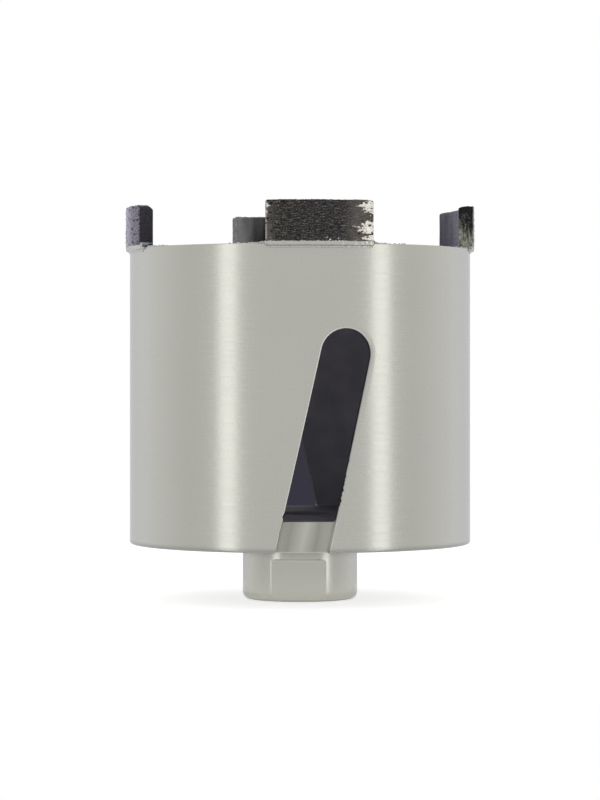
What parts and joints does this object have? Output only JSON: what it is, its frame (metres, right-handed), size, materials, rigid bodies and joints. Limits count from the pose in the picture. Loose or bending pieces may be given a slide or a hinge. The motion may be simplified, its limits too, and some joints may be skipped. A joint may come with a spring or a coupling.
{
  "type": "dry diamond core drill bit",
  "caption": "Short painted steel core barrel with slanted slots, a threaded hub with wrench flats, and brazed diamond segments on its rim.",
  "frame": {"origin": "centre of the hub's end face, which is also the centre of the part's base", "axes": "+Z along the axis from the hub towards the diamond segments, -Y towards the front, where one segment and one slot are"},
  "size_m": [0.082, 0.082, 0.0917],
  "materials": {
    "body_paint": "satin champagne grey paint over turned steel",
    "diamond_sinter": "dark sintered metal bond with diamond grit, ground on its outer face",
    "braze_paint": "satin paint over a slightly lumpy braze fillet"
  },
  "bodies": {
    "root": {"barrel": "body_paint", "threaded_hub": "body_paint", "segment_front": "diamond_sinter", "segment_right": "diamond_sinter", "segment_back": "diamond_sinter", "segment_left": "diamond_sinter", "braze_front": "braze_paint", "braze_right": "braze_paint", "braze_back": "braze_paint", "braze_left": "braze_paint"}
  },
  "joints": []
}
